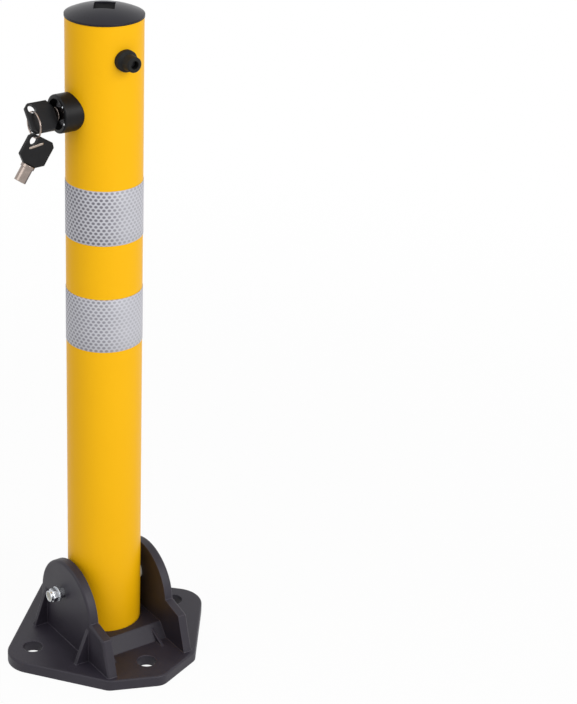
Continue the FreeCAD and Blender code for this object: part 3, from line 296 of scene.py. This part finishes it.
def film_finish(name, colours, sizes):
    """Honeycomb reflective film: pale cells with staggered darker dots, from the film's own coordinates.

    Row = floor(up / row pitch); every second row is moved half a pitch. A dot is where
    (x / half length)^2 + (y / half height)^2 < 1 about the middle of its cell. From fade_from to back_to the dots
    are paler, as painted light standing in for the film's reflection changing with its slant to the light. All dots
    of the lower band are drawn paler too.
    """
    material, tree, output = new_material(name)
    place = add(tree, "ShaderNodeAttribute", attribute_name="film_place")
    parts = add(tree, "ShaderNodeSeparateXYZ", {0: place.outputs["Vector"]})
    row = add(tree, "ShaderNodeMath", {0: parts.outputs["Y"], 1: sizes.row}, operation="DIVIDE").outputs["Value"]
    level = add(tree, "ShaderNodeMath", {0: row}, operation="FLOOR").outputs["Value"]
    odd = add(tree, "ShaderNodeMath", {0: level, 1: 2.0}, operation="FLOORED_MODULO").outputs["Value"]
    along = add(tree, "ShaderNodeMath", {0: parts.outputs["X"], 1: sizes.pitch}, operation="DIVIDE").outputs["Value"]
    stagger = add(tree, "ShaderNodeMath", {0: odd, 1: 0.5, 2: along}, operation="MULTIPLY_ADD").outputs["Value"]
    squares = []
    for value, pitch, size in ((stagger, sizes.pitch, sizes.dot_long), (row, sizes.row, sizes.dot_high)):
        cell = add(tree, "ShaderNodeMath", {0: value}, operation="FRACT").outputs["Value"]
        middle = add(tree, "ShaderNodeMath", {0: cell, 1: 0.5}, operation="SUBTRACT").outputs["Value"]
        share = add(tree, "ShaderNodeMath", {0: middle, 1: 2 * pitch / size}, operation="MULTIPLY").outputs["Value"]
        squares.append(add(tree, "ShaderNodeMath", {0: share, 1: 2.0}, operation="POWER").outputs["Value"])
    radius = add(tree, "ShaderNodeMath", {0: squares[0], 1: squares[1]}, operation="ADD").outputs["Value"]
    dot = add(tree, "ShaderNodeMapRange", {"Value": radius, "From Min": DOT_SPAN[0], "From Max": DOT_SPAN[1],
                                           "To Min": 1.0, "To Max": 0.0},
              interpolation_type="SMOOTHSTEP").outputs["Result"]
    cloud = add(tree, "ShaderNodeTexNoise", {"Vector": place.outputs["Vector"], "Scale": per_metre(CLOUD_MM)})
    shade = add(tree, "ShaderNodeMapRange", {"Value": cloud.outputs["Fac"], "To Min": 0.75, "To Max": 1.0})
    # Painted light: the dots turn paler round one side of the tube, standing in for the film's changing reflection.
    painted_light_fades = [add(tree, "ShaderNodeMapRange", {"Value": parts.outputs["X"], "From Min": start, "From Max": end,
                                              "To Min": first, "To Max": last},
                 interpolation_type="SMOOTHSTEP").outputs["Result"]
             for start, end, first, last in ((sizes.fade_from, sizes.fade_to, 1.0, sizes.palest),
                                             (sizes.back_from, sizes.back_to, sizes.palest, 1.0))]
    painted_light_fade = add(tree, "ShaderNodeMath", {0: painted_light_fades[0], 1: painted_light_fades[1]}, operation="MAXIMUM").outputs["Value"]
    # The lower band's dots are drawn paler than the upper band's.
    lower_band_paler = add(tree, "ShaderNodeMapRange", {
        "Value": parts.outputs["Y"], "From Min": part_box("reflective_band_lower")[1].z,
        "From Max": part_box("reflective_band_upper")[0].z, "To Min": sizes.worn, "To Max": 1.0}).outputs["Result"]
    whole = add(tree, "ShaderNodeMath", {0: dot, 1: lower_band_paler}, operation="MULTIPLY").outputs["Value"]
    cells = add(tree, "ShaderNodeMath", {0: whole, 1: shade.outputs["Result"]}, operation="MULTIPLY").outputs["Value"]
    amount = add(tree, "ShaderNodeMath", {0: cells, 1: painted_light_fade}, operation="MULTIPLY").outputs["Value"]
    tint = add(tree, "ShaderNodeMix", {"Factor": amount, "A": colours.film[:], "B": colours.film_dot[:]},
               data_type="RGBA")
    rough = add(tree, "ShaderNodeMapRange", {"Value": amount, "To Min": 0.42, "To Max": 0.55})
    relief = add(tree, "ShaderNodeBump", {"Height": amount, "Strength": 0.6, "Distance": 0.06 * MM}, invert=True)
    shader = add(tree, "ShaderNodeBsdfPrincipled", {
        "Base Color": tint.outputs["Result"], "Roughness": rough.outputs["Result"],
        "Normal": relief.outputs["Normal"], "Specular IOR Level": 0.35})
    tree.links.new(shader.outputs["BSDF"], output.inputs["Surface"])
    return material


def dress(material, *names):
    """Give CAD nodes one material."""
    for name in names:
        mesh = NODES[name].data
        mesh.materials.clear()
        mesh.materials.append(material)


def grid_faces(rows, columns, wrap_rows, wrap_columns):
    """Quads of a grid of points, as an array of four corner numbers, joined round where asked."""
    r = np.arange(rows if wrap_rows else rows - 1)
    c = np.arange(columns if wrap_columns else columns - 1)
    low, left = np.meshgrid(r, c, indexing="ij")
    up, right = (low + 1) % rows, (left + 1) % columns
    return np.stack([low * columns + left, low * columns + right, up * columns + right, up * columns + left],
                    axis=-1).reshape(-1, 4)


def new_piece(name, points, faces, material, body, rings=()):
    """A mesh piece from an array of points, quads, and closing rings of points, riding on a CAD body."""
    mesh = bpy.data.meshes.new(name)
    mesh.from_pydata(points.reshape(-1, 3), [], [list(f) for f in faces] + [list(r) for r in rings])
    mesh.shade_smooth()
    mesh.materials.append(material)
    piece = bpy.data.objects.new(name, mesh)
    bpy.context.scene.collection.objects.link(piece)
    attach(piece, body)
    return piece


def signed_power(value, power):
    """The size of a value raised to a power, with the value's own sign."""
    return np.sign(value) * np.abs(value) ** power


def pillow(centre, axes, halves, square):
    """A closed block with soft corners and edges, as points and quads with two closing rings.

    Point = centre + a cos(v)^s cos(u)^s along + b cos(v)^s sin(u)^s across + c sin(v)^s out, with the powers of
    sines and cosines keeping their sign; u runs round the block, v from one face to the other.
    """
    u = np.linspace(0.0, 2 * math.pi, PILLOW_STEPS[0], endpoint=False)
    v = np.linspace(-math.pi / 2, math.pi / 2, PILLOW_STEPS[1])[1:-1]
    waist, level = signed_power(np.cos(v), square)[:, None], signed_power(np.sin(v), square)[:, None]
    local = np.stack([halves[0] * waist * signed_power(np.cos(u), square),
                      halves[1] * waist * signed_power(np.sin(u), square),
                      halves[2] * np.broadcast_to(level, (v.size, u.size))], axis=-1)
    points = np.asarray(centre) + local @ np.asarray(axes)
    rings = [np.arange(u.size)[::-1], np.arange(u.size) + (v.size - 1) * u.size]
    return points, grid_faces(v.size, u.size, False, True), rings


class POST_OT_tube(bpy.types.Operator):
    """Powder coat the tube"""

    bl_idname = "post.tube"
    bl_label = "Tube"

    def execute(self, context):
        colours = context.scene.post_colours
        # Polyester powder coat, sprayed and baked: an even satin skin with a faint orange peel of about 2 mm
        coat = finish_of("powder_coated_steel", colours.coat[:], colours.coat_deep[:], (0.36, 0.46), 45.0, 2.0, 0.02,
                         specular=0.13)
        dress(coat, "post_tube")
        return {"FINISHED"}


class POST_OT_film(bpy.types.Operator):
    """Wrap the two reflective bands round the tube"""

    bl_idname = "post.film"
    bl_label = "Reflective bands"

    def execute(self, context):
        colours, sizes = context.scene.post_colours, context.scene.film_sizes
        # Honeycomb retroreflective film: pale cells under a clear face, dots where the cells are sealed
        film = film_finish("honeycomb_reflective_film", colours, sizes)
        for name in ("reflective_band_upper", "reflective_band_lower"):
            low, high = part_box(name)
            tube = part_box("post_tube")[1].x
            self.wrap(name, tube, high.x - tube, low.z, high.z, sizes.lap, film)
        return {"FINISHED"}

    def wrap(self, node, radius, thick, low, high, lap, film):
        """A film section carried round the tube from its back, past a full turn, over its own start.

        Point = ((r + lift) cos a, (r + lift) sin a, z): a runs over 2 pi plus the lap; lift rises by one film
        thickness, as a smooth step, where the end climbs over the start; (r, z) goes round a thin rectangle.
        """
        turns = np.linspace(0.0, 2 * math.pi + lap / radius, FILM_STEPS)
        inner, outer = radius + FILM_GLUE, radius + thick
        section = np.array([(inner, low), (outer, low + FILM_SOFT), (outer, low + 0.33 * (high - low)),
                            (outer, low + 0.67 * (high - low)), (outer, high - FILM_SOFT), (inner, high)])
        rise = np.clip((turns - (2 * math.pi - lap / radius)) / (lap / radius), 0.0, 1.0)
        lift = thick * rise * rise * (3 - 2 * rise)
        angle = turns + math.pi / 2
        reach = section[None, :, 0] + lift[:, None]
        points = np.stack([reach * np.cos(angle)[:, None], reach * np.sin(angle)[:, None],
                           np.broadcast_to(section[None, :, 1], reach.shape)], axis=-1)
        rows, columns = reach.shape
        faces = grid_faces(rows, columns, False, True)
        ends = [np.arange(columns)[::-1], np.arange(columns) + (rows - 1) * columns]
        piece = new_piece(node + "_film", points, faces, film, "post", ends)
        place = np.stack([np.broadcast_to((turns * radius)[:, None], reach.shape),
                          np.broadcast_to(section[None, :, 1], reach.shape), np.zeros(reach.shape)], axis=-1)
        attribute = piece.data.attributes.new("film_place", "FLOAT_VECTOR", "POINT")
        attribute.data.foreach_set("vector", place.astype(np.float32).ravel())
        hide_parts(node)


class POST_OT_foot(bpy.types.Operator):
    """Finish the moulded foot"""

    bl_idname = "post.foot"
    bl_label = "Foot"

    def execute(self, context):
        colours = context.scene.post_colours
        # Glass filled nylon, injection moulded: charcoal, half matt, a fine spark-eroded grain, paler edges that are
        # partly rubbed wear and partly a painted highlight
        foot = finish_of("glass_filled_nylon", colours.foot[:], colours.foot_deep[:], (0.42, 0.56), 22.0, 0.8, 0.03,
                         specular=0.38, edge=colours.foot_rub_and_highlight[:], edge_mm=1.2)
        dress(foot, "base_foot")
        return {"FINISHED"}


class POST_OT_hinge(bpy.types.Operator):
    """Finish the hinge bolt, its nut, washers, sleeve and spacers"""

    bl_idname = "post.hinge"
    bl_label = "Hinge"

    def execute(self, context):
        colours = context.scene.post_colours
        # Bright zinc plate on turned steel: pale, slightly cloudy, half sharp reflections
        zinc = finish_of("zinc_plated_steel", colours.zinc[:], colours.zinc_deep[:], (0.20, 0.34), 6.0, 0.5, 0.006,
                         metallic=1.0)
        # Natural nylon, moulded: milky and half matt
        nylon = finish_of("natural_nylon", colours.nylon[:], colours.nylon[:], (0.40, 0.5), 8.0, 0.6, 0.01)
        dress(zinc, "hinge_sleeve", "hinge_bolt", "hinge_nut", "nut_washer", "head_washer", "lock_rod", "lock_cam",
              "cam_screw", "lock_nut")
        dress(nylon, "nut_insert", "lock_side_spacer", "far_side_spacer", "rod_guide_lower", "rod_guide_upper")
        return {"FINISHED"}


class POST_OT_cap(bpy.types.Operator):
    """Finish the cap"""

    bl_idname = "post.cap"
    bl_label = "Cap"

    def execute(self, context):
        colours = context.scene.post_colours
        # Polypropylene, injection moulded in a polished mould: dark, half gloss, with painted shade on what lies below
        # its dome, the recess and the rim
        low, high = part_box("top_cap")
        across, rise = (high.x - low.x) / 2, context.scene.trim_sizes.cap_rise
        radius = (across * across + rise * rise) / (2 * rise)
        middle = ((low.x + high.x) / 2, (low.y + high.y) / 2, high.z - radius)
        cap = finish_of("moulded_polypropylene", colours.cap[:], colours.cap_deep[:], (0.26, 0.36), 14.0, 1.2, 0.01,
                        specular=0.22, hollow=(middle, radius, colours.painted_recess_shade[:]))
        dress(cap, "top_cap")
        return {"FINISHED"}


class POST_OT_lock(bpy.types.Operator):
    """Finish the lock boss and the lock in it"""

    bl_idname = "post.lock"
    bl_label = "Lock"

    def execute(self, context):
        colours = context.scene.post_colours
        # ABS, injection moulded: black, fine grain
        boss = finish_of("moulded_abs", colours.boss[:], colours.boss[:], (0.36, 0.46), 10.0, 0.6, 0.02, specular=0.2)
        # Zinc die casting, dark plated
        casting = finish_of("plated_die_casting", colours.casting[:], colours.casting[:], (0.18, 0.30), 5.0, 0.6,
                            0.006, metallic=1.0)
        dress(boss, "lock_boss")
        dress(casting, "lock_body", "lock_plug")
        # Two bright pins in the boss's rim keep the lock from turning, as low domes
        low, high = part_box("lock_boss")
        middle = (low + high) / 2
        sizes = context.scene.trim_sizes
        reach = (high.y - low.y) / 2 - sizes.pin_in
        bright = finish_of("burnished_steel", colours.zinc[:], colours.zinc_deep[:], (0.30, 0.40), 4.0, 0.4, 0.002,
                           metallic=1.0)
        halves = (sizes.pin, sizes.pin, sizes.pin_out * sizes.pin)
        for name, degrees in PINS:
            turn = math.radians(degrees)
            place = (low.x, middle.y + reach * math.cos(turn), middle.z + reach * math.sin(turn))
            points, faces, rings = pillow(place, ((0, 1, 0), (0, 0, 1), (1, 0, 0)), halves, 1.0)
            new_piece(name, points, faces, bright, "post", rings)
        return {"FINISHED"}


class POST_OT_keys(bpy.types.Operator):
    """Finish the key, the spare key and their ring"""

    bl_idname = "post.keys"
    bl_label = "Keys"

    def execute(self, context):
        colours = context.scene.post_colours
        # ABS key heads, moulded over the barrel: black, satin
        head = finish_of("overmoulded_abs", colours.black[:], colours.black_deep[:], (0.30, 0.42), 8.0, 0.5, 0.012,
                         specular=0.2)
        # Nickel plate on turned brass: warm, darkened overall as a painted dark reflection, with random greyer patches
        nickel = finish_of("nickel_plated_brass", colours.nickel[:], colours.nickel_patch_and_dark_reflection[:], (0.12, 0.24), 5.0, 0.4,
                           0.004, metallic=1.0)
        dress(head, "key_head", "spare_key_head")
        dress(nickel, "key_barrel", "spare_key_barrel", "key_ring")
        # A worn strip of plated brass let into the spare key's head: warm grey, scuffed
        worn = finish_of("scuffed_brass_strip", colours.strip[:], colours.strip[:], (0.36, 0.5), 3.0, 0.4, 0.01,
                         metallic=1.0)
        low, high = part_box("spare_key_head")
        sizes = context.scene.trim_sizes
        lean = sizes.strip_lean
        along, across = (math.cos(lean), 0.0, math.sin(lean)), (-math.sin(lean), 0.0, math.cos(lean))
        place = (low.x + sizes.strip_in, low.y, high.z - sizes.strip_down)
        halves = (sizes.strip_long / 2, sizes.strip_high / 2, sizes.strip_out)
        points, faces, rings = pillow(place, (along, across, (0.0, -1.0, 0.0)), halves, 0.4)
        new_piece("spare_key_strip", points, faces, worn, "spare_key", rings)
        return {"FINISHED"}


class POST_OT_buffer(bpy.types.Operator):
    """Finish the rubber buffer"""

    bl_idname = "post.buffer"
    bl_label = "Buffer"

    def execute(self, context):
        colours = context.scene.post_colours
        # Natural rubber, pressed in a mould: black, matt, a little dusty
        rubber = finish_of("moulded_rubber", colours.rubber[:], colours.rubber_deep[:], (0.55, 0.7), 6.0, 0.5, 0.02,
                           specular=0.2)
        # Black oxide on the screw that holds it: dark, half matt
        oxide = finish_of("black_oxide_steel", colours.black[:], colours.black_deep[:], (0.4, 0.5), 4.0, 0.4, 0.004,
                          specular=0.3)
        dress(rubber, "rubber_buffer")
        dress(oxide, "buffer_screw")
        return {"FINISHED"}


class POST_OT_stage(bpy.types.Operator):
    """Set the floor, the light and the camera"""

    bl_idname = "post.stage"
    bl_label = "Stage"

    def execute(self, context):
        sizes = context.scene.view_sizes
        self.floor()
        self.world(sizes.sky)
        self.lamp("key_light", sizes.key_place, sizes.key_size, sizes.key)
        self.lamp("fill_light", sizes.fill_place, sizes.fill_size, sizes.fill)
        self.camera(sizes)
        context.scene.view_settings.view_transform = "Standard"
        return {"FINISHED"}

    def seen(self, tree):
        """1 for rays from the camera, from gloss and through glass, else 0."""
        path = add(tree, "ShaderNodeLightPath")
        first = add(tree, "ShaderNodeMath", {0: path.outputs["Is Camera Ray"], 1: path.outputs["Is Glossy Ray"]},
                    operation="MAXIMUM")
        return add(tree, "ShaderNodeMath", {0: first.outputs["Value"], 1: path.outputs["Is Transmission Ray"]},
                   operation="MAXIMUM").outputs["Value"]

    def floor(self):
        """A pale floor that keeps a faint shadow: a square of points, lit a little near the post and white far off."""
        side = np.linspace(-FLOOR_HALF, FLOOR_HALF, 2)
        x, y = np.meshgrid(side, side, indexing="ij")
        points = np.stack([x, y, np.zeros(x.shape)], axis=-1)
        mesh = bpy.data.meshes.new("floor")
        mesh.from_pydata(points.reshape(-1, 3), [], grid_faces(2, 2, False, False)[:, ::-1].tolist())
        floor = bpy.data.objects.new("floor", mesh)
        bpy.context.scene.collection.objects.link(floor)
        material, tree, output = new_material("white_paper")
        lit = add(tree, "ShaderNodeBsdfDiffuse", {"Color": (0.9, 0.9, 0.9, 1.0)})
        white = add(tree, "ShaderNodeEmission", {"Color": (1.0, 1.0, 1.0, 1.0), "Strength": 1.0})
        where = add(tree, "ShaderNodeTexCoord").outputs["Object"]
        off = add(tree, "ShaderNodeVectorMath", {0: where}, operation="LENGTH").outputs["Value"]
        white_share = add(tree, "ShaderNodeMapRange", {
            "Value": off, "From Min": FLOOR_SPAN[0], "From Max": FLOOR_SPAN[1],
            "To Min": FLOOR_WHITE[0], "To Max": FLOOR_WHITE[1]}, interpolation_type="SMOOTHSTEP")
        share = add(tree, "ShaderNodeMath", {0: self.seen(tree), 1: white_share.outputs["Result"]},
                    operation="MULTIPLY")
        mixed = add(tree, "ShaderNodeMixShader", {0: share.outputs["Value"], 1: lit.outputs["BSDF"],
                                                  2: white.outputs["Emission"]})
        tree.links.new(mixed.outputs["Shader"], output.inputs["Surface"])
        mesh.materials.append(material)

    def world(self, strength):
        """White where the camera, gloss and glass look, and an even light elsewhere."""
        world = bpy.data.worlds.new("studio")
        bpy.context.scene.world = world
        world.use_nodes = True
        tree = world.node_tree
        tree.nodes.clear()
        level = add(tree, "ShaderNodeMapRange", {"Value": self.seen(tree), "To Min": strength, "To Max": 1.0})
        light = add(tree, "ShaderNodeBackground", {"Color": (1.0, 1.0, 1.0, 1.0), "Strength": level.outputs["Result"]})
        output = add(tree, "ShaderNodeOutputWorld")
        tree.links.new(light.outputs["Background"], output.inputs["Surface"])

    def lamp(self, name, place, size, power):
        """A square soft light that looks at the middle of the post."""
        data = bpy.data.lights.new(name, "AREA")
        data.size = size
        data.energy = power
        lamp = bpy.data.objects.new(name, data)
        middle = (CAD_BOX[0] + CAD_BOX[1]) / 2
        aim = (middle - Vector(place)).to_track_quat("-Z", "Y")
        lamp.matrix_world = Matrix.Translation(place) @ aim.to_matrix().to_4x4()
        bpy.context.scene.collection.objects.link(lamp)

    def camera(self, sizes):
        """Camera at the photograph's place: pan and pitch from the post's direction, then roll about the view."""
        data = bpy.data.cameras.new("camera")
        data.lens = sizes.focal * SENSOR
        data.sensor_width = SENSOR
        data.shift_y = sizes.rise
        camera = bpy.data.objects.new("camera", data)
        forward = Vector((math.sin(sizes.pan) * math.cos(sizes.pitch), math.cos(sizes.pan) * math.cos(sizes.pitch),
                          -math.sin(sizes.pitch)))
        right = Vector((math.cos(sizes.pan), -math.sin(sizes.pan), 0.0))
        up = right.cross(forward)
        across = right * math.cos(sizes.roll) + up * math.sin(sizes.roll)
        above = up * math.cos(sizes.roll) - right * math.sin(sizes.roll)
        turn = Matrix.Rotation(sizes.azimuth, 4, "Z")
        basis = Matrix((across, above, -forward)).transposed().to_4x4()
        camera.matrix_world = turn @ Matrix.Translation((0.0, -sizes.distance, sizes.height)) @ basis
        bpy.context.scene.collection.objects.link(camera)
        bpy.context.scene.camera = camera


class POST_PT_panel(bpy.types.Panel):
    """Lists the steps that dress the post"""

    bl_idname = "POST_PT_panel"
    bl_label = "Parking post"
    bl_space_type = "VIEW_3D"
    bl_region_type = "UI"
    bl_category = "Parking post"

    def draw(self, context):
        for step in STEPS:
            self.layout.operator(step.bl_idname)
        for group in GROUPS:
            holder = getattr(context.scene, group)
            for key in holder.__annotations__:
                self.layout.prop(holder, key)


GROUPS = {"post_colours": PostColours, "film_sizes": FilmSizes, "trim_sizes": TrimSizes, "view_sizes": ViewSizes}
STEPS = (POST_OT_tube, POST_OT_film, POST_OT_foot, POST_OT_hinge, POST_OT_cap, POST_OT_lock, POST_OT_keys,
         POST_OT_buffer, POST_OT_stage)


def register():
    for name, group in GROUPS.items():
        bpy.utils.register_class(group)
        setattr(bpy.types.Scene, name, bpy.props.PointerProperty(type=group))
    for item in STEPS + (POST_PT_panel,):
        bpy.utils.register_class(item)


def unregister():
    for item in reversed(STEPS + (POST_PT_panel,)):
        bpy.utils.unregister_class(item)
    for name, group in GROUPS.items():
        delattr(bpy.types.Scene, name)
        bpy.utils.unregister_class(group)


def main():
    register()
    for step in STEPS:
        area, name = step.bl_idname.split(".")
        getattr(getattr(bpy.ops, area), name)()


if __name__ == "__main__":
    main()
